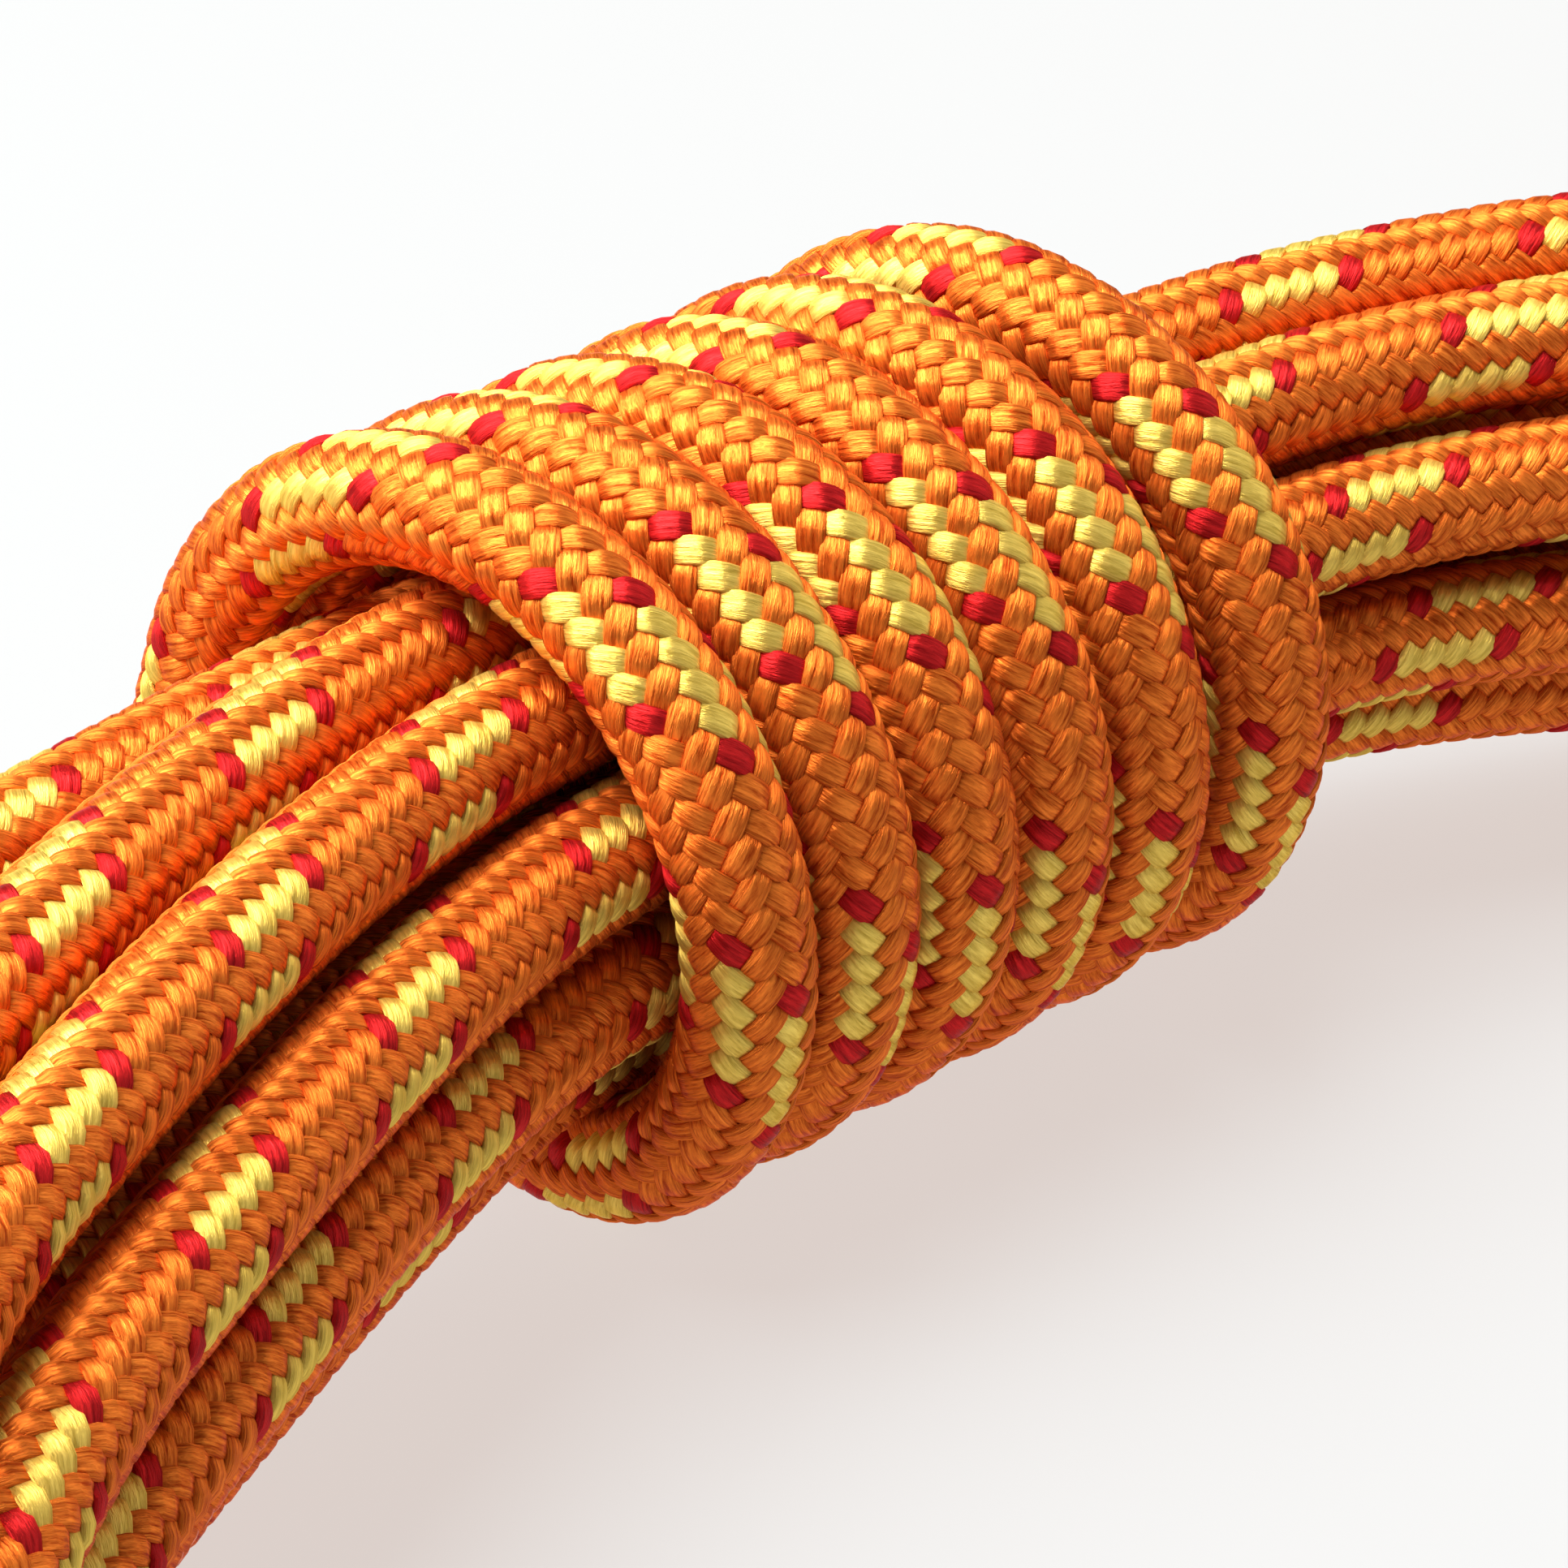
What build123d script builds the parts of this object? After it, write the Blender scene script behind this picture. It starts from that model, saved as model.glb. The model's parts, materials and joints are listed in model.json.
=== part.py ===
from build123d import *
import os
from math import cos, pi, radians, sin, tan

# A dynamic climbing rope of kernmantle build, stored as a hank: twelve strands laid side by side
# between end loops, gathered in the middle by six turns of the rope's own finishing end.
# Millimetres, +Z up. The origin is the middle of the footprint on the surface it lies on.
# The hank is worked out about the wrap's axis, which runs along X, and is then moved there.

# Rope section
ROPE_DIAMETER = 10.0
SHEATH_WALL = 1.1
CORE_STRANDS = 7
CORE_STRAND_RADIUS = 1.24
CORE_LAY_RADIUS = 2.55
MARKER_THREAD_RADIUS = 0.3
MARKER_THREAD_AT = 3.5

# Bundle inside the wrap: three inner strands and nine outer ones
INNER_RADIUS = 5.86
OUTER_RADIUS = 15.5
# strand number: (angle from the top towards the front, radius of its seat)
SEATS = {
    1: (330, INNER_RADIUS),
    2: (350, OUTER_RADIUS),
    3: (310, OUTER_RADIUS),
    4: (30, OUTER_RADIUS),
    5: (270, OUTER_RADIUS),
    6: (70, OUTER_RADIUS),
    7: (210, INNER_RADIUS),
    8: (90, INNER_RADIUS),
    9: (190, 15.3),
    10: (150, 15.3),
    11: (230, OUTER_RADIUS),
    12: (110, OUTER_RADIUS),
}
STRANDS = len(SEATS)
PAIRS = STRANDS // 2

# Wrap
TURNS = 6
TURN_POINTS = 12
WRAP_PITCH = 10.7
WRAP_RADII = (26.5, 26.0, 25.8, 25.8, 25.8, 26.1)
WRAP_SHIFTS = (0.0, 0.2, 0.0, -0.5, -0.6, 2.2)
WRAP_RISES = (0.0, 0.0, 0.0, 0.2, 0.5, 0.8)
WRAP_START = -90
WRAP_END = 360 * TURNS - 210
WRAP_HEIGHT = WRAP_RADII[2] + ROPE_DIAMETER / 2

# Bundle outside the wrap, side -1 towards -X and side 1 towards +X
LEFT, RIGHT = -1, 1
WRAP_HALF = {LEFT: 26.0, RIGHT: 37.0}
STEPS = (26, 32, 38, 38, 38)
HEADING = {LEFT: 20, RIGHT: -28}
TURN_SHARES = {LEFT: (0.6, 1.0, 1.0, 1.0, 1.0), RIGHT: (0.5, 1.1, 1.15, 1.1, 1.1)}
WIDEN = {LEFT: (1.03, 1.05, 1.06, 1.04, 1.0), RIGHT: (1.02, 1.08, 1.12, 1.07, 1.0)}
RISE = {LEFT: (0, 0, 0, 0, 0, 0), RIGHT: (0.4, 1.2, 2.0, 2.0, 1.2, 0)}
RAISE = {LEFT: (1.03, 1.06, 1.08, 1.06, 1.0), RIGHT: (1.08, 1.20, 1.27, 1.14, 1.0)}
USUAL = (0.0, 0.02, 0.12, 0.60, 1.0)
EARLY = (0.10, 0.35, 0.70, 1.0, 1.0)
LATE = (0.0, 0.0, 0.08, 0.48, 1.0)
LAST = (0.0, 0.0, 0.04, 0.25, 1.0)
AT_ONCE = (0.22, 0.75, 0.90, 1.0, 1.0)
UNDER = (0.0, -0.12, -0.05, 0.45, 1.0)
# (strand, side): how soon it moves sideways and down to its place in the end loops
TIMING = {
    (1, LEFT): (LAST, LAST),
    (3, LEFT): (EARLY, USUAL),
    (4, LEFT): (USUAL, LATE),
    (5, LEFT): (EARLY, USUAL),
    (7, LEFT): (LATE, LATE),
    (9, LEFT): (LAST, USUAL),
    (10, LEFT): (UNDER, AT_ONCE),
    (11, LEFT): (EARLY, EARLY),
}

# End loops: three layers, two loops to a layer, one inside the other
LOOP_RADIUS = 33.5
LOOP_STEP = 10.55
LOOP_REACH = 20.0
LOOP_ANGLES = (-60, 0, 60)
# place in the pile, from the top: (layer, 0 for the inner loop or 1 for the outer one)
PILE = {0: (3, 0), 1: (2, 0), 2: (2, 1), 3: (1, 1), 4: (1, 0), 5: (0, 0), 6: (0, 1)}

# The end that makes the wrap: the way in behind the bundle, and the way out under it
LEAD_IN = ((-150, 22, 5), (-118, 20, 5), (-90, 19, 5), (-66, 20, 5), (-49, 24, 7), (-38, 27, 17))
WAY_OUT = ((34, 1, 5), (42, 14, 5), (57, 22, 5), (80, 24, 5), (114, 20, 5), (152, 15, 5), (191, 12, 5))
# The starting end lies on the pile, past its last place there: how far on, and how far inwards
START_TAIL = (36, 2.5)

# Rope ends
SLEEVE_LENGTH = 20.0
SLEEVE_WALL = 0.35
LABEL_LENGTH = 14.0
LABEL_WALL = 0.13
LABEL_OPENING = 1.5
TIP_LENGTH = 4.0
TIP_EDGE = 1.6
FIT_GAP = 0.02

# Where the wrap's middle is, seen from the middle of the footprint
WRAP_AT = (1.698, 55.099)

RADIUS = ROPE_DIAMETER / 2
INNER_SHEATH = RADIUS - SHEATH_WALL
SHRUNK_RADIUS = RADIUS - SLEEVE_WALL - LABEL_WALL - 2 * FIT_GAP


def stations(side):
    """Points of the bundle's middle line in plan, with its heading, from the wrap outwards."""
    x, y = side * WRAP_HALF[side], 0.0
    found = [(x, y, 0.0)]
    for step, share in zip(STEPS, TURN_SHARES[side]):
        heading = radians(HEADING[side] * share)
        x += side * step * cos(heading)
        y += side * step * sin(heading)
        found.append((x, y, heading))
    return found


def loop_place(strand, side):
    """Sideways place, height over the wrap's axis, of a strand where its end loop starts."""
    back = strand % 2 == 1
    rank = (strand + 1) // 2 if side == RIGHT else strand // 2
    layer, nest = PILE[rank]
    across = LOOP_RADIUS + LOOP_STEP * nest
    return across if back else -across, RADIUS + layer * LOOP_STEP - WRAP_HEIGHT


def leg(strand, side):
    """A strand's points from the wrap's middle out to its end loop."""
    angle, radius = SEATS[strand]
    across, up = -radius * sin(radians(angle)), radius * cos(radians(angle))
    last_across, last_up = loop_place(strand, side)
    sideways, down = TIMING.get((strand, side), (USUAL, USUAL))
    places = stations(side)
    points = [(places[0][0], across, WRAP_HEIGHT + up + RISE[side][0])]
    for k, (x, y, heading) in enumerate(places[1:]):
        u = (across + (last_across - across) * sideways[k]) * WIDEN[side][k]
        v = (up + (last_up - up) * down[k]) * RAISE[side][k]
        height = max(WRAP_HEIGHT + v + RISE[side][k + 1], RADIUS)
        points.append((x - u * sin(heading), y + u * cos(heading), height))
    return points


def end_loop(a, b, side):
    """The corners of a half turn from point a to point b, bulging outwards."""
    heading = radians(HEADING[side] * TURN_SHARES[side][-1])
    out = Vector(side * cos(heading), side * sin(heading), 0)
    a, b = Vector(*a), Vector(*b)
    half = (b - a) / 2
    middle = (a + b) / 2 + out * LOOP_REACH
    stretch = 1 / cos(radians(LOOP_ANGLES[-1] / 2))
    corners = []
    for angle in LOOP_ANGLES:
        turn = radians(angle)
        corner = middle + (out * (half.length * cos(turn)) + half * sin(turn)) * stretch
        corners.append(tuple(corner))
    return corners


def lead_in_start(front):
    """Where the lead-in leaves the last left loop, straight across from the strand before it."""
    heading = radians(HEADING[LEFT] * TURN_SHARES[LEFT][-1])
    width = 2 * (LOOP_RADIUS + LOOP_STEP * PILE[PAIRS][1])
    return front[0] - width * sin(heading), front[1] + width * cos(heading), RADIUS


def start_tail(last):
    """The tip of the starting end."""
    heading = radians(HEADING[LEFT] * TURN_SHARES[LEFT][-1])
    along, inwards = START_TAIL
    x = last[0] - along * cos(heading) + inwards * sin(heading)
    y = last[1] - along * sin(heading) - inwards * cos(heading)
    return x, y, last[2]


def between(values, place):
    """The value at a fractional place in a list, held beyond its ends."""
    place = min(max(place, 0), len(values) - 1)
    low = min(int(place), len(values) - 2)
    return values[low] + (values[low + 1] - values[low]) * (place - low)


def wrap_points():
    """Six turns round the bundle: down the front, under it, and up the back, towards +X."""
    step = 360 // TURN_POINTS
    points = []
    for angle in range(WRAP_START, WRAP_END + 1, step):
        place = (angle - 90) / 360
        radius = between(WRAP_RADII, place) / cos(radians(step / 2))
        x = (place - (TURNS - 1) / 2) * WRAP_PITCH + between(WRAP_SHIFTS, place)
        y = -radius * sin(radians(angle))
        z = max(WRAP_HEIGHT + between(WRAP_RISES, place) + radius * cos(radians(angle)), RADIUS)
        points.append((x, y, z))
    return points


def rope_route():
    """Every point of the rope in order, and the stretches as (name, first, last) point numbers."""
    points = []
    parts = []

    def add(name, more):
        parts.append((name, len(points), len(points) + len(more) - 1))
        points.extend(more)

    for strand in range(1, STRANDS + 1):
        start = LEFT if strand % 2 else RIGHT
        inward = leg(strand, start)[::-1]
        outward = leg(strand, -start)
        if strand == 1:
            inward.insert(0, start_tail(inward[0]))
        add(f"sheath_strand_{strand:02d}", inward + outward)
        rank = (strand + 1) // 2
        if strand < STRANDS:
            after = leg(strand + 1, -start)[-1]
        else:
            after = lead_in_start(outward[-1])
        side_name = "right" if start == LEFT else "left"
        add(f"sheath_{side_name}_loop_{rank}", end_loop(outward[-1], after, -start))
    add("sheath_lead_in", [after, *LEAD_IN])
    turns = wrap_points()
    for turn in range(TURNS):
        some = turns[turn * TURN_POINTS : (turn + 1) * TURN_POINTS]
        if turn == TURNS - 1:
            some = turns[turn * TURN_POINTS :]
        add(f"sheath_wrap_turn_{turn + 1}", some)
    add("sheath_finishing_tail", list(WAY_OUT))
    moved = [(x + WRAP_AT[0], y + WRAP_AT[1], z) for x, y, z in points]
    return moved, parts


def corner_radii(points):
    """The largest arc that each corner's two runs leave room for."""
    radii = []
    for before, here, after in zip(points, points[1:], points[2:]):
        first = Vector(*here) - Vector(*before)
        second = Vector(*after) - Vector(*here)
        turn = radians(first.get_angle(second))
        radii.append(0.45 * min(first.length, second.length) / tan(turn / 2))
    return radii


def middle(a, b):
    return tuple((p + q) / 2 for p, q in zip(a, b))


def stretch_path(points, radii, first, last):
    """The rope's line from half-way into one stretch to half-way out of it."""
    start = points[0] if first == 0 else middle(points[first - 1], points[first])
    end = points[-1] if last == len(points) - 1 else middle(points[last], points[last + 1])
    inner = points[max(first, 1) : min(last, len(points) - 2) + 1]
    bends = radii[max(first, 1) - 1 : min(last, len(points) - 2)]
    return FilletPolyline(start, *inner, end, radius=bends)


def tube(path, outer, inner=0.0, aside=(0.0, 0.0)):
    """A round tube or rod along a path, or beside it."""
    section = Circle(outer) - Circle(inner) if inner else Circle(outer)
    return sweep(Plane(path @ 0, z_dir=path % 0) * Pos(*aside) * section, path=path)


def rope_end(tip, back):
    """The plane where an end's sleeve starts, with Z pointing out of the rope."""
    out = (Vector(*tip) - Vector(*back)).normalized()
    return Plane(Vector(*tip) - out * SLEEVE_LENGTH, z_dir=out)


def shrink_space(plane):
    """What the sleeve and label take off the sheath at a rope end."""
    ring = extrude(Circle(2 * RADIUS) - Circle(SHRUNK_RADIUS), SLEEVE_LENGTH + 1)
    return plane * ring


def end_sleeve(plane):
    """Heat-shrink sleeve over the rope end."""
    return plane * extrude(Circle(RADIUS) - Circle(RADIUS - SLEEVE_WALL), SLEEVE_LENGTH)


def end_label(plane):
    """Blank paper label under the sleeve, not quite meeting itself round the rope."""
    inner = SHRUNK_RADIUS + FIT_GAP
    label = extrude(Circle(inner + LABEL_WALL) - Circle(inner), LABEL_LENGTH)
    label -= Pos(RADIUS, 0, LABEL_LENGTH / 2) * Box(2 * RADIUS, LABEL_OPENING, 2 * LABEL_LENGTH)
    return plane * Pos(0, 0, (SLEEVE_LENGTH - LABEL_LENGTH) / 2) * label


def fused_tip(plane):
    """The melted cap that closes the sheath and the core strands."""
    tip = extrude(Circle(SHRUNK_RADIUS), TIP_LENGTH)
    tip = fillet(tip.edges().sort_by(Axis.Z)[-1], TIP_EDGE)
    return plane * Pos(0, 0, SLEEVE_LENGTH) * tip


def save(shape, name, colour):
    shape.label = name
    shape.color = Color(*colour)
    export_step(shape, f"parts/{name}.step")
    made.append(shape)


ORANGE = (0.89, 0.42, 0.09)
WHITE = (0.93, 0.92, 0.88)
BLUE = (0.10, 0.20, 0.55)
CLEAR = (0.60, 0.58, 0.54)
MELTED = (0.45, 0.17, 0.05)

os.makedirs("parts", exist_ok=True)
made = []
points, parts = rope_route()
radii = corner_radii(points)
ends = {"start": rope_end(points[0], points[1]), "finish": rope_end(points[-1], points[-2])}

for name, first, last in parts:
    path = stretch_path(points, radii, first, last)
    sheath = tube(path, RADIUS, INNER_SHEATH)
    drift = sheath.volume / (pi * (RADIUS**2 - INNER_SHEATH**2) * path.length) - 1
    tightest = min(radii[max(first - 1, 0) : last])
    print(f"{name}: {path.length:.1f} mm long, tightest arc {tightest:.1f} mm, volume {drift:+.5f}")
    if first == 0:
        sheath -= shrink_space(ends["start"])
    if last == len(points) - 1:
        sheath -= shrink_space(ends["finish"])
    save(sheath, name, ORANGE)

rope_line = FilletPolyline(*points, radius=radii)
print(f"whole rope: {rope_line.length:.0f} mm")
save(tube(rope_line, CORE_STRAND_RADIUS), "core_strand_1", WHITE)
for k in range(1, CORE_STRANDS):
    turn = 2 * pi * k / (CORE_STRANDS - 1)
    place = (CORE_LAY_RADIUS * cos(turn), CORE_LAY_RADIUS * sin(turn))
    save(tube(rope_line, CORE_STRAND_RADIUS, aside=place), f"core_strand_{k + 1}", WHITE)
turn = pi / (CORE_STRANDS - 1)
place = (MARKER_THREAD_AT * cos(turn), MARKER_THREAD_AT * sin(turn))
save(tube(rope_line, MARKER_THREAD_RADIUS, aside=place), "marker_thread", BLUE)

for end, plane in ends.items():
    save(end_sleeve(plane), f"end_sleeve_{end}", CLEAR)
    save(end_label(plane), f"end_label_{end}", WHITE)
    save(fused_tip(plane), f"fused_tip_{end}", MELTED)

box = Compound(children=made).bounding_box()
print("box", box.size, "middle", box.center(), "lowest", box.min.Z)
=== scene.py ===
"""A dynamic climbing rope stored as a hank, with its braided sheath yarn by yarn.

Metres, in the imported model's frame. The rope's line is one NURBS spline on the part's own route.
Every yarn of the sheath follows that line, over two yarns of the other hand and under two.
"""

import json
from math import cos, pi, radians, sin

import bpy
import numpy as np
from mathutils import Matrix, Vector


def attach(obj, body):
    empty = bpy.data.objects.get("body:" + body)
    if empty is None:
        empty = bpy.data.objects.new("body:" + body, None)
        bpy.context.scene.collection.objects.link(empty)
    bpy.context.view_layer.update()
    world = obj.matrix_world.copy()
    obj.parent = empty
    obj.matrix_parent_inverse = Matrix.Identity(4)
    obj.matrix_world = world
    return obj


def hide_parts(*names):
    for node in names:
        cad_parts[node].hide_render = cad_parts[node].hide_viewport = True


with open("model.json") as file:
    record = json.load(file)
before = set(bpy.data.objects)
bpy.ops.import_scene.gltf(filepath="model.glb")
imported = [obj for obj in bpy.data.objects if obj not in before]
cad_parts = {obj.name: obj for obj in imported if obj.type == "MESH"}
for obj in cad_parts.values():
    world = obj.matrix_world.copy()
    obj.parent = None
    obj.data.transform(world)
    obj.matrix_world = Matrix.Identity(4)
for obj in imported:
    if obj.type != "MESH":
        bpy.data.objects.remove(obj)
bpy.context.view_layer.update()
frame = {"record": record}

# Rope
ROPE_DIAMETER = 0.010
RADIUS = ROPE_DIAMETER / 2

# Bundle inside the wrap: strand number, (angle from the top towards the front, radius of its seat)
INNER_RADIUS = 0.00586
OUTER_RADIUS = 0.0155
SEATS = {
    1: (330, INNER_RADIUS),
    2: (350, OUTER_RADIUS),
    3: (310, OUTER_RADIUS),
    4: (30, OUTER_RADIUS),
    5: (270, OUTER_RADIUS),
    6: (70, OUTER_RADIUS),
    7: (210, INNER_RADIUS),
    8: (90, INNER_RADIUS),
    9: (190, 0.0153),
    10: (150, 0.0153),
    11: (230, OUTER_RADIUS),
    12: (110, OUTER_RADIUS),
}
STRANDS = len(SEATS)
PAIRS = STRANDS // 2

# Wrap
TURNS = 6
TURN_POINTS = 12
WRAP_PITCH = 0.0107
WRAP_RADII = (0.0265, 0.0260, 0.0258, 0.0258, 0.0258, 0.0261)
WRAP_SHIFTS = (0.0, 0.0002, 0.0, -0.0005, -0.0006, 0.0022)
WRAP_RISES = (0.0, 0.0, 0.0, 0.0002, 0.0005, 0.0008)
WRAP_START = -90
WRAP_END = 360 * TURNS - 210
WRAP_HEIGHT = WRAP_RADII[2] + RADIUS
WRAP_AT = (0.001698, 0.055099)

# Bundle outside the wrap
LEFT, RIGHT = -1, 1
WRAP_HALF = {LEFT: 0.026, RIGHT: 0.037}
STEPS = (0.026, 0.032, 0.038, 0.038, 0.038)
HEADING = {LEFT: 20, RIGHT: -28}
TURN_SHARES = {LEFT: (0.6, 1.0, 1.0, 1.0, 1.0), RIGHT: (0.5, 1.1, 1.15, 1.1, 1.1)}
WIDEN = {LEFT: (1.03, 1.05, 1.06, 1.04, 1.0), RIGHT: (1.02, 1.08, 1.12, 1.07, 1.0)}
RISE = {LEFT: (0, 0, 0, 0, 0, 0), RIGHT: (0.0004, 0.0012, 0.002, 0.002, 0.0012, 0)}
RAISE = {LEFT: (1.03, 1.06, 1.08, 1.06, 1.0), RIGHT: (1.08, 1.20, 1.27, 1.14, 1.0)}
USUAL = (0.0, 0.02, 0.12, 0.60, 1.0)
EARLY = (0.10, 0.35, 0.70, 1.0, 1.0)
LATE = (0.0, 0.0, 0.08, 0.48, 1.0)
LAST = (0.0, 0.0, 0.04, 0.25, 1.0)
AT_ONCE = (0.22, 0.75, 0.90, 1.0, 1.0)
UNDER = (0.0, -0.12, -0.05, 0.45, 1.0)
# (strand, side): how soon it moves sideways and down to its place in the end loops
TIMING = {
    (1, LEFT): (LAST, LAST),
    (3, LEFT): (EARLY, USUAL),
    (4, LEFT): (USUAL, LATE),
    (5, LEFT): (EARLY, USUAL),
    (7, LEFT): (LATE, LATE),
    (9, LEFT): (LAST, USUAL),
    (10, LEFT): (UNDER, AT_ONCE),
    (11, LEFT): (EARLY, EARLY),
}

# End loops
LOOP_RADIUS = 0.0335
LOOP_STEP = 0.01055
LOOP_REACH = 0.020
LOOP_ANGLES = (-60, 0, 60)
PILE = {0: (3, 0), 1: (2, 0), 2: (2, 1), 3: (1, 1), 4: (1, 0), 5: (0, 0), 6: (0, 1)}

# The end that makes the wrap, and the starting end's tail
LEAD_IN = (
    (-0.150, 0.022, 0.005),
    (-0.118, 0.020, 0.005),
    (-0.090, 0.019, 0.005),
    (-0.066, 0.020, 0.005),
    (-0.049, 0.024, 0.007),
    (-0.038, 0.027, 0.017),
)
WAY_OUT = (
    (0.034, 0.001, 0.005),
    (0.042, 0.014, 0.005),
    (0.057, 0.022, 0.005),
    (0.080, 0.024, 0.005),
    (0.114, 0.020, 0.005),
    (0.152, 0.015, 0.005),
    (0.191, 0.012, 0.005),
)
START_TAIL = (0.036, 0.0025)

# Braid: two families of yarns of opposite hand, each yarn over two and under two
YARNS = 12
LAY = 0.0276
PERIOD = LAY / 6
YARN_MIDDLE = 0.00422
YARN_LIFT = 0.00044
# How far the weave's middle is below YARN_MIDDLE, as a share of its lift
YARN_SINK = 0.14
YARN_FILL = 1.28
YARN_CROWN = 0.65
YARN_WANDER = 0.010
YARN_PLUMPNESS = 0.04
YARN_SEED = 4
# Length of yarn to one unit of its UV map, and how far the map is moved from yarn to yarn
YARN_LENGTH_UNIT = 0.0012
YARN_UV_SHIFT = 7.3
YARN_THICK_OVER = 0.00039
YARN_THICK_UNDER = 0.00030
SLEEVE_LENGTH = 0.020
SLEEVE_MARGIN = 0.001
SHRINK = 0.885
# Distance from the wrap's middle within which the yarns have every ring
FINE_REACH = 0.090
# Angles round a yarn's section: more over its face than under it
SECTION = (0, -60, -120, -180, -216, -252, -288, -324)
# Below 1 gives a yarn's section flatter faces and fuller shoulders
SECTION_FLATNESS = 0.65
# Places in a period, the over half first, and whether a coarse stretch keeps them
PLACES = (0.0, 0.08, 0.17, 0.25, 0.33, 0.42, 0.5, 0.625, 0.75, 0.875)
KEPT = (True, False, True, False, True, False, True, False, True, False)

LINE_STEPS = 32
CORE_RADIUS = 0.0038
CORE_STEP = 0.003
CORE_SIDES = 12
NO_LENGTH = 1e-9
NO_BEND = 1e-20

# Yarn material
YARN_ROUGHNESS = 0.37
YARN_SHEEN = 0.65
YARN_ANISOTROPY = 0.85
YARN_GLOSS = 0.5
FILAMENT_SCALE = (26, 0.5, 1)
FILAMENT_DETAIL = 4
FILAMENT_ROUGHNESS = 0.7
FILAMENT_BUMP = 1.0
FILAMENT_DEPTH = 0.00025
# Places on the filament ramp: up to the first the yarn has its full painted shade between
# filaments, from the second on its own colour
FILAMENT_SHADE = 0.34
FILAMENT_LIGHT = 0.62


def stations(side):
    """Points of the bundle's middle line in plan, with its heading, from the wrap outwards."""
    x, y = side * WRAP_HALF[side], 0.0
    found = [(x, y, 0.0)]
    for step, share in zip(STEPS, TURN_SHARES[side]):
        heading = radians(HEADING[side] * share)
        x += side * step * cos(heading)
        y += side * step * sin(heading)
        found.append((x, y, heading))
    return found


def loop_place(strand, side):
    """Sideways place, height over the wrap's axis, of a strand where its end loop starts."""
    back = strand % 2 == 1
    rank = (strand + 1) // 2 if side == RIGHT else strand // 2
    layer, nest = PILE[rank]
    across = LOOP_RADIUS + LOOP_STEP * nest
    return across if back else -across, RADIUS + layer * LOOP_STEP - WRAP_HEIGHT


def leg(strand, side):
    """A strand's points from the wrap's middle out to its end loop."""
    angle, radius = SEATS[strand]
    across, up = -radius * sin(radians(angle)), radius * cos(radians(angle))
    last_across, last_up = loop_place(strand, side)
    sideways, down = TIMING.get((strand, side), (USUAL, USUAL))
    places = stations(side)
    points = [(places[0][0], across, WRAP_HEIGHT + up + RISE[side][0])]
    for k, (x, y, heading) in enumerate(places[1:]):
        u = (across + (last_across - across) * sideways[k]) * WIDEN[side][k]
        v = (up + (last_up - up) * down[k]) * RAISE[side][k]
        height = max(WRAP_HEIGHT + v + RISE[side][k + 1], RADIUS)
        points.append((x - u * sin(heading), y + u * cos(heading), height))
    return points


def end_loop(a, b, side):
    """The corners of a half turn from point a to point b, bulging outwards."""
    heading = radians(HEADING[side] * TURN_SHARES[side][-1])
    out = Vector((side * cos(heading), side * sin(heading), 0))
    a, b = Vector(a), Vector(b)
    half = (b - a) / 2
    middle = (a + b) / 2 + out * LOOP_REACH
    stretch = 1 / cos(radians(LOOP_ANGLES[-1] / 2))
    corners = []
    for angle in LOOP_ANGLES:
        turn = radians(angle)
        corner = middle + (out * (half.length * cos(turn)) + half * sin(turn)) * stretch
        corners.append(tuple(corner))
    return corners


def lead_in_start(front):
    """Where the lead-in leaves the last left loop, straight across from the strand before it."""
    heading = radians(HEADING[LEFT] * TURN_SHARES[LEFT][-1])
    width = 2 * (LOOP_RADIUS + LOOP_STEP * PILE[PAIRS][1])
    return front[0] - width * sin(heading), front[1] + width * cos(heading), RADIUS


def start_tail(last):
    """The tip of the starting end."""
    heading = radians(HEADING[LEFT] * TURN_SHARES[LEFT][-1])
    along, inwards = START_TAIL
    x = last[0] - along * cos(heading) + inwards * sin(heading)
    y = last[1] - along * sin(heading) - inwards * cos(heading)
    return x, y, last[2]


def between(values, place):
    """The value at a fractional place in a list, held beyond its ends."""
    place = min(max(place, 0), len(values) - 1)
    low = min(int(place), len(values) - 2)
    return values[low] + (values[low + 1] - values[low]) * (place - low)


def wrap_points():
    """Six turns round the bundle: down the front, under it, and up the back, towards +X."""
    step = 360 // TURN_POINTS
    points = []
    for angle in range(WRAP_START, WRAP_END + 1, step):
        place = (angle - 90) / 360
        radius = between(WRAP_RADII, place) / cos(radians(step / 2))
        x = (place - (TURNS - 1) / 2) * WRAP_PITCH + between(WRAP_SHIFTS, place)
        y = -radius * sin(radians(angle))
        z = max(WRAP_HEIGHT + between(WRAP_RISES, place) + radius * cos(radians(angle)), RADIUS)
        points.append((x, y, z))
    return points


def rope_route():
    """Every point of the rope in order."""
    points = []
    for strand in range(1, STRANDS + 1):
        start = LEFT if strand % 2 else RIGHT
        inward = leg(strand, start)[::-1]
        outward = leg(strand, -start)
        if strand == 1:
            inward.insert(0, start_tail(inward[0]))
        if strand < STRANDS:
            after = leg(strand + 1, -start)[-1]
        else:
            after = lead_in_start(outward[-1])
        points += inward + outward + end_loop(outward[-1], after, -start)
    points += [after, *LEAD_IN, *wrap_points(), *WAY_OUT]
    return [(x + WRAP_AT[0], y + WRAP_AT[1], z) for x, y, z in points]


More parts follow.
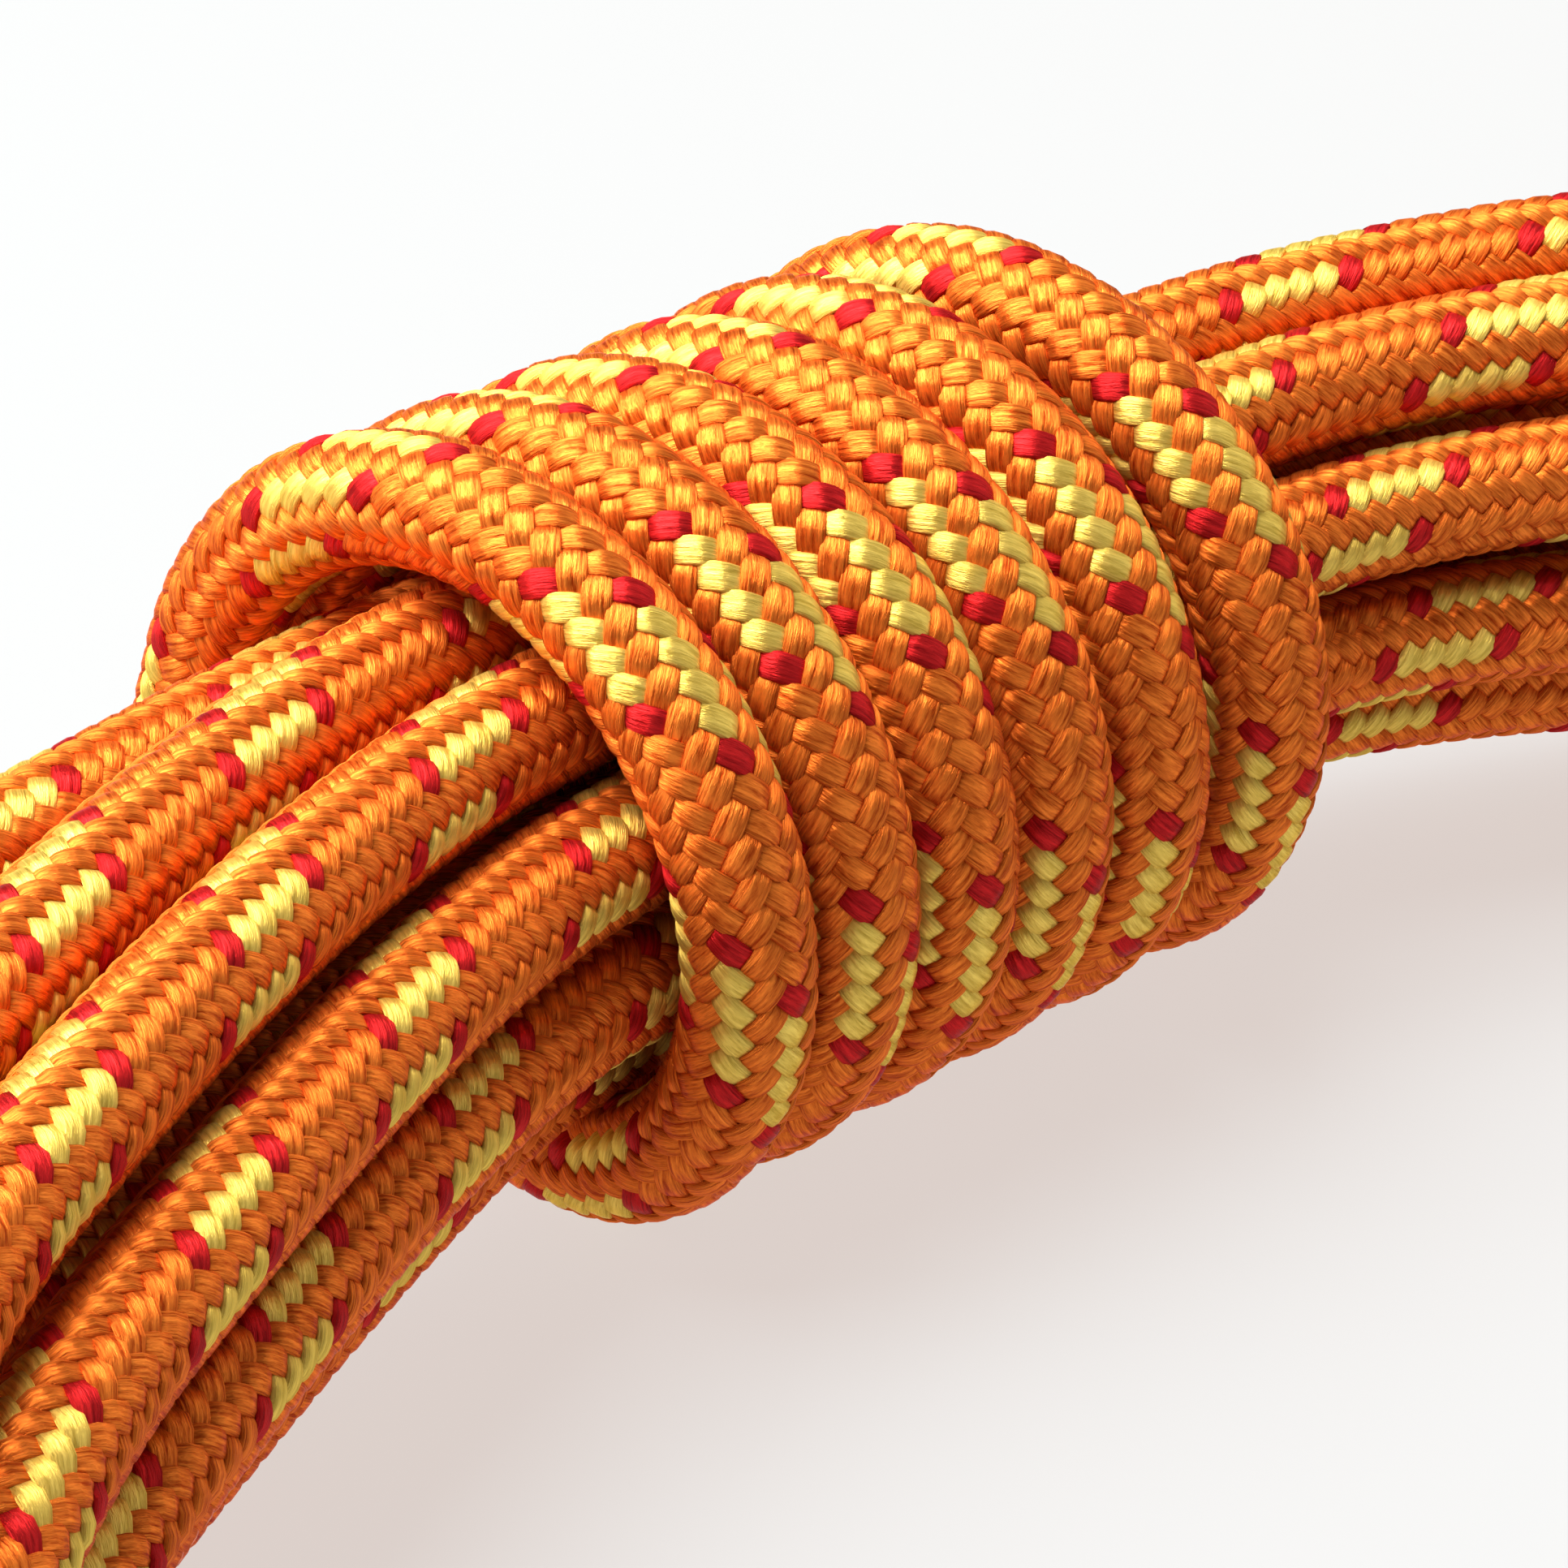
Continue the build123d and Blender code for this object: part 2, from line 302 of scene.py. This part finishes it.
def read_line(points):
    """The points of the smooth line that has the route's points as its control points."""
    data = bpy.data.curves.new("rope_line", "CURVE")
    data.dimensions = "3D"
    data.resolution_u = LINE_STEPS
    spline = data.splines.new("NURBS")
    spline.points.add(len(points) - 1)
    for control, place in zip(spline.points, points):
        control.co = (*place, 1)
    spline.order_u = 3
    spline.use_endpoint_u = True
    guide = bpy.data.objects.new("rope_line", data)
    mesh = bpy.data.meshes.new_from_object(guide)
    line = np.empty(3 * len(mesh.vertices))
    mesh.vertices.foreach_get("co", line)
    bpy.data.meshes.remove(mesh)
    bpy.data.objects.remove(guide)
    bpy.data.curves.remove(data)
    return line.reshape(-1, 3)


def unit(rows):
    return rows / np.linalg.norm(rows, axis=1, keepdims=True)


def carried_sides(line, along):
    """A sideways direction at each point of the line that never twists round it."""
    side = np.empty_like(line)
    first = np.cross(along[0], (0, 0, 1))
    side[0] = first / np.linalg.norm(first)
    for k in range(len(line) - 1):
        step = line[k + 1] - line[k]
        size = step @ step
        held = side[k] - 2 * (step @ side[k]) / size * step
        turned = along[k] - 2 * (step @ along[k]) / size * step
        bend = along[k + 1] - turned
        size = bend @ bend
        side[k + 1] = held - 2 * (bend @ held) / size * bend if size > NO_BEND else held
    return side


class RopeLine:
    """The rope's line, by distance along it."""

    def __init__(self, line):
        steps = np.linalg.norm(np.diff(line, axis=0), axis=1)
        keep = np.concatenate([[True], steps > NO_LENGTH])
        self.line = line[keep]
        steps = np.linalg.norm(np.diff(self.line, axis=0), axis=1)
        self.at = np.concatenate([[0], np.cumsum(steps)])
        self.length = self.at[-1]
        self.along = unit(np.gradient(self.line, self.at, axis=0))
        self.side = carried_sides(self.line, self.along)
        self.bend = np.gradient(self.along, self.at, axis=0)

    def read(self, rows, at):
        return np.stack([np.interp(at, self.at, rows[:, k]) for k in range(3)], axis=1)

    def frames(self, at):
        """Place, direction along, and two directions across, at distances along the line."""
        along = unit(self.read(self.along, at))
        side = self.read(self.side, at)
        side = unit(side - along * np.sum(side * along, axis=1, keepdims=True))
        return self.read(self.line, at), along, side, np.cross(along, side)


def tube_mesh(name, rings, uv):
    """A closed tube from rings of points, with the UV place of each ring point."""
    count, sides = rings.shape[:2]
    low = np.arange(count - 1)[:, None] * sides
    here = np.arange(sides)[None, :]
    after = (here + 1) % sides
    quads = np.stack([low + here, low + after, low + sides + after, low + sides + here], axis=-1)
    quads = quads.reshape(-1, 4)
    ends = [np.arange(sides)[::-1], np.arange(sides) + (count - 1) * sides]
    corners = np.concatenate([quads.ravel(), *ends]).astype(np.int32)
    sizes = np.concatenate([np.full(len(quads), 4), [sides, sides]]).astype(np.int32)
    starts = np.concatenate([[0], np.cumsum(sizes)[:-1]]).astype(np.int32)
    mesh = bpy.data.meshes.new(name)
    mesh.vertices.add(count * sides)
    mesh.vertices.foreach_set("co", rings.reshape(-1).astype(np.float32))
    mesh.loops.add(len(corners))
    mesh.loops.foreach_set("vertex_index", corners)
    mesh.polygons.add(len(sizes))
    mesh.polygons.foreach_set("loop_start", starts)
    mesh.polygons.foreach_set("use_smooth", np.ones(len(sizes), dtype=bool))
    layer = mesh.uv_layers.new(name="UVMap")
    places = uv.reshape(-1, 2)[corners]
    last_side = np.tile(here[0] == sides - 1, count - 1).repeat(4)
    far_corner = np.tile([False, True, True, False], len(quads))
    seam = np.zeros(len(corners), dtype=bool)
    seam[: len(last_side)] = last_side & far_corner
    places[seam, 0] = 1
    layer.data.foreach_set("uv", places.reshape(-1).astype(np.float32))
    mesh.update(calc_edges=True)
    mesh.validate()
    return mesh


def end_shrink(rope, at):
    """How much narrower the sheath is under the sleeves at the rope's ends."""
    from_end = np.minimum(at, rope.length - at)
    return np.where(from_end < SLEEVE_LENGTH + SLEEVE_MARGIN, SHRINK, 1.0)


def yarn_samples(rope, offset):
    """Distances along the rope where a yarn's rings are, and its place in its periods there."""
    count = int(rope.length / PERIOD) + 2
    starts = (np.arange(-1, count) - offset % 1) * PERIOD
    middle = rope.read(rope.line, np.clip(starts, 0, rope.length))
    fine = np.abs(middle[:, 0] - WRAP_AT[0]) < FINE_REACH
    grid = starts[:, None] + np.array(PLACES)[None, :] * PERIOD
    wanted = fine[:, None] | np.array(KEPT)[None, :]
    at = grid[wanted]
    at = at[(at > 0) & (at < rope.length)]
    at = np.concatenate([[0.0], at, [rope.length]])
    return at, at / PERIOD + offset


def yarn_mesh(name, rope, hand, number, random):
    """One sheath yarn for the rope's whole length."""
    start_angle = 2 * pi * number / YARNS
    offset = number / 2
    if hand < 0:
        start_angle += pi / YARNS
        offset = -(number / 2 + 0.25)
    at, phase = yarn_samples(rope, offset)
    place, along, side, up = rope.frames(at)
    wave = np.sin(2 * pi * phase)
    over = np.sign(wave) * np.abs(wave) ** YARN_CROWN
    drift = random.normal(0, 1, (2, int(rope.length / PERIOD) + 4))
    turn = np.arange(drift.shape[1]) * PERIOD
    wander = np.interp(at, turn, drift[0])
    plump = np.interp(at, turn, drift[1])
    angle = start_angle + hand * 2 * pi * at / LAY + wander * YARN_WANDER
    shrink = end_shrink(rope, at)
    middle = (YARN_MIDDLE + YARN_LIFT * (over - YARN_SINK)) * shrink
    swell = 0.5 + 0.5 * over
    thick = YARN_THICK_UNDER + (YARN_THICK_OVER - YARN_THICK_UNDER) * swell
    thick *= (1 + YARN_PLUMPNESS * plump) * shrink
    outwards = np.cos(angle)[:, None] * side + np.sin(angle)[:, None] * up
    bend = rope.read(rope.bend, at)
    stretch = 1 - middle * np.sum(bend * outwards, axis=1)
    slope = np.arctan(2 * pi * middle / (LAY * stretch))
    wide = YARN_FILL * LAY / YARNS * stretch * np.sin(slope) / 2
    turns = np.radians(SECTION)
    flat = np.sign(np.cos(turns)) * np.abs(np.cos(turns)) ** SECTION_FLATNESS
    arch = np.sign(np.sin(turns)) * np.abs(np.sin(turns)) ** SECTION_FLATNESS
    out = wide[:, None] * flat[None, :]
    rise = thick[:, None] * arch[None, :]
    ring_angle = angle[:, None] + out * (np.cos(slope) / middle)[:, None]
    forward = -hand * out * np.sin(slope)[:, None]
    radius = middle[:, None] + rise
    rings = place[:, None, :] + forward[..., None] * along[:, None, :]
    rings += (radius * np.cos(ring_angle))[..., None] * side[:, None, :]
    rings += (radius * np.sin(ring_angle))[..., None] * up[:, None, :]
    across = np.tile(-np.array(SECTION) / 360, (len(at), 1))
    down = np.tile((at / YARN_LENGTH_UNIT)[:, None], (1, len(SECTION)))
    return tube_mesh(name, rings, np.stack([across, down + number * YARN_UV_SHIFT], axis=-1))


def core_mesh(rope):
    """The inner tube seen between the yarns, coloured dark orange-brown as painted shade in the
    gaps over the rope's core.
    """
    at = np.linspace(0, rope.length, int(rope.length / CORE_STEP))
    place, _, side, up = rope.frames(at)
    turns = np.arange(CORE_SIDES) * 2 * pi / CORE_SIDES
    radius = CORE_RADIUS * end_shrink(rope, at)
    rings = place[:, None, :] + radius[:, None, None] * (
        np.cos(turns)[None, :, None] * side[:, None, :]
        + np.sin(turns)[None, :, None] * up[:, None, :]
    )
    across = np.tile(turns / (2 * pi), (len(at), 1))
    down = np.tile((at / ROPE_DIAMETER)[:, None], (1, CORE_SIDES))
    return tube_mesh("rope_inside", rings, np.stack([across, down], axis=-1))


def shader(name, colour, roughness):
    """A new material with its Principled shader."""
    material = bpy.data.materials.new(name)
    material.use_nodes = True
    principled = material.node_tree.nodes["Principled BSDF"]
    principled.inputs["Base Color"].default_value = (*colour, 1)
    principled.inputs["Roughness"].default_value = roughness
    return material, principled


def yarn_material(name, dark, light):
    """Glossy parallel filaments: fine lines along the yarn, and a sheen across them. The colour
    goes to its dark copy in the bump's hollows, as painted shade between the filaments.
    """
    material, principled = shader(name, light, YARN_ROUGHNESS)
    tree = material.node_tree
    place = tree.nodes.new("ShaderNodeUVMap")
    place.uv_map = "UVMap"
    lines = tree.nodes.new("ShaderNodeMapping")
    lines.inputs["Scale"].default_value = FILAMENT_SCALE
    noise = tree.nodes.new("ShaderNodeTexNoise")
    noise.inputs["Scale"].default_value = 1
    noise.inputs["Detail"].default_value = FILAMENT_DETAIL
    noise.inputs["Roughness"].default_value = FILAMENT_ROUGHNESS
    bump = tree.nodes.new("ShaderNodeBump")
    bump.inputs["Strength"].default_value = FILAMENT_BUMP
    bump.inputs["Distance"].default_value = FILAMENT_DEPTH
    # Painted shade: the noise that makes the bump also darkens the colour in its hollows
    ramp = tree.nodes.new("ShaderNodeValToRGB")
    ramp.color_ramp.elements[0].position = FILAMENT_SHADE
    ramp.color_ramp.elements[0].color = (*dark, 1)
    ramp.color_ramp.elements[1].position = FILAMENT_LIGHT
    ramp.color_ramp.elements[1].color = (*light, 1)
    tangent = tree.nodes.new("ShaderNodeTangent")
    tangent.direction_type = "UV_MAP"
    tangent.uv_map = "UVMap"
    tree.links.new(place.outputs["UV"], lines.inputs["Vector"])
    tree.links.new(lines.outputs["Vector"], noise.inputs["Vector"])
    tree.links.new(noise.outputs["Fac"], bump.inputs["Height"])
    tree.links.new(noise.outputs["Fac"], ramp.inputs["Fac"])
    tree.links.new(ramp.outputs["Color"], principled.inputs["Base Color"])
    tree.links.new(bump.outputs["Normal"], principled.inputs["Normal"])
    tree.links.new(tangent.outputs["Tangent"], principled.inputs["Tangent"])
    principled.inputs["Metallic"].default_value = YARN_SHEEN
    principled.inputs["Specular Tint"].default_value = (*light, 1)
    principled.inputs["Anisotropic"].default_value = YARN_ANISOTROPY
    principled.inputs["Specular IOR Level"].default_value = YARN_GLOSS
    return material


# For each yarn: first its painted shade between filaments, then its own colour
ORANGE = yarn_material("yarn_orange", (0.36, 0.036, 0.003), (1.0, 0.26, 0.036))
YELLOW = yarn_material("yarn_yellow", (0.55, 0.36, 0.050), (0.96, 0.70, 0.15))
RED = yarn_material("yarn_red", (0.24, 0.006, 0.008), (0.66, 0.022, 0.024))
# The coloured family's yarns in order round the rope
TRACERS = [RED] + [YELLOW] * 4 + [RED] + [ORANGE] * 6


def add(name, mesh, material):
    """A piece of the rope on its one body."""
    piece = bpy.data.objects.new(name, mesh)
    bpy.context.scene.collection.objects.link(piece)
    mesh.materials.append(material)
    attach(piece, "root")
    return piece


rope = RopeLine(read_line(rope_route()))
random = np.random.default_rng(YARN_SEED)
for number in range(YARNS):
    name = f"yarn_right_hand_{number + 1:02d}"
    add(name, yarn_mesh(name, rope, 1, number, random), ORANGE)
    name = f"yarn_left_hand_{number + 1:02d}"
    add(name, yarn_mesh(name, rope, -1, number, random), TRACERS[number])

# Painted shade: the rope's inside is coloured like shaded orange yarn, so the gaps between the
# yarns look dark
inside_shade_material, inside = shader("rope_inside", (0.22, 0.045, 0.012), 0.8)
core = add("rope_inside", core_mesh(rope), inside_shade_material)
rope_nodes = [part["node"] for part in frame["record"]["subparts"]]
stood_for = [node for node in rope_nodes if node.startswith(("sheath_", "core_", "marker_"))]
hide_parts(*stood_for)


def finish_node(name, colour, roughness, clear=0.0):
    """A CAD node's own material."""
    material, principled = shader(name, colour, roughness)
    principled.inputs["Transmission Weight"].default_value = clear
    node = bpy.data.objects[name]
    node.data.materials.clear()
    node.data.materials.append(material)


for end in ("start", "finish"):
    finish_node(f"end_sleeve_{end}", (0.92, 0.92, 0.90), 0.22, 0.85)
    finish_node(f"end_label_{end}", (0.86, 0.86, 0.84), 0.6)
    finish_node(f"fused_tip_{end}", (0.20, 0.05, 0.015), 0.25)

# Floor
FLOOR_SIZE = 6.0
# The floor glows, which lightens its shadows and lights the rope from below; its faintly blue
# colour under a warm glow turns the shadows pinkish, as painted bounce light from the rope
FLOOR_COLOUR = (0.085, 0.115, 0.130)
FLOOR_GLOW = (0.69, 0.615, 0.58)
floor_mesh = bpy.data.meshes.new("floor")
half = FLOOR_SIZE / 2
floor_mesh.from_pydata(
    [(-half, -half, 0), (half, -half, 0), (half, half, 0), (-half, half, 0)], [], [(0, 1, 2, 3)]
)
floor = bpy.data.objects.new("floor", floor_mesh)
bpy.context.scene.collection.objects.link(floor)
floor_material, floor_shader = shader("floor", FLOOR_COLOUR, 0.9)
floor_shader.inputs["Specular IOR Level"].default_value = 0.1
floor_shader.inputs["Emission Color"].default_value = (*FLOOR_GLOW, 1)
floor_shader.inputs["Emission Strength"].default_value = 1
floor_mesh.materials.append(floor_material)

# Camera
CAMERA_AZIMUTH = -45.0
CAMERA_ELEVATION = 27.1
CAMERA_DISTANCE = 0.451
CAMERA_TARGET = Vector((WRAP_AT[0] + 0.0003, WRAP_AT[1] - 0.003, 0.026))
a, e = radians(CAMERA_AZIMUTH), radians(CAMERA_ELEVATION)
back = Vector((sin(a) * cos(e), -cos(a) * cos(e), sin(e)))
camera_data = bpy.data.cameras.new("camera")
camera_data.lens = 136.5
camera_data.sensor_width = 36
camera_data.clip_start = 0.01
camera_data.clip_end = 20
camera = bpy.data.objects.new("camera", camera_data)
bpy.context.scene.collection.objects.link(camera)
camera.location = CAMERA_TARGET + back * CAMERA_DISTANCE
camera.rotation_mode = "QUATERNION"
camera.rotation_quaternion = (-back).to_track_quat("-Z", "Y")
bpy.context.scene.camera = camera


def area_light(name, place, size, power, colour):
    """A square soft light aimed at the wrap."""
    data = bpy.data.lights.new(name, "AREA")
    data.shape = "SQUARE"
    data.size = size
    data.energy = power
    data.color = colour
    lamp = bpy.data.objects.new(name, data)
    bpy.context.scene.collection.objects.link(lamp)
    lamp.location = CAMERA_TARGET + Vector(place)
    lamp.rotation_mode = "QUATERNION"
    lamp.rotation_quaternion = (-Vector(place)).to_track_quat("-Z", "Y")


area_light("key", (-0.34, 0.44, 1.25), 1.4, 74, (1.0, 0.97, 0.93))
area_light("rim", (-0.95, 0.75, 0.60), 0.5, 12, (1.0, 0.97, 0.92))
area_light("fill", (0.90, -0.30, 0.40), 1.0, 3.0, (1.0, 0.95, 0.90))

world = bpy.data.worlds.new("studio")
bpy.context.scene.world = world
world.use_nodes = True
sky = world.node_tree.nodes["Background"]
sky.inputs["Color"].default_value = (1, 1, 1, 1)
sky.inputs["Strength"].default_value = 0.14
bpy.context.scene.view_settings.view_transform = "Standard"
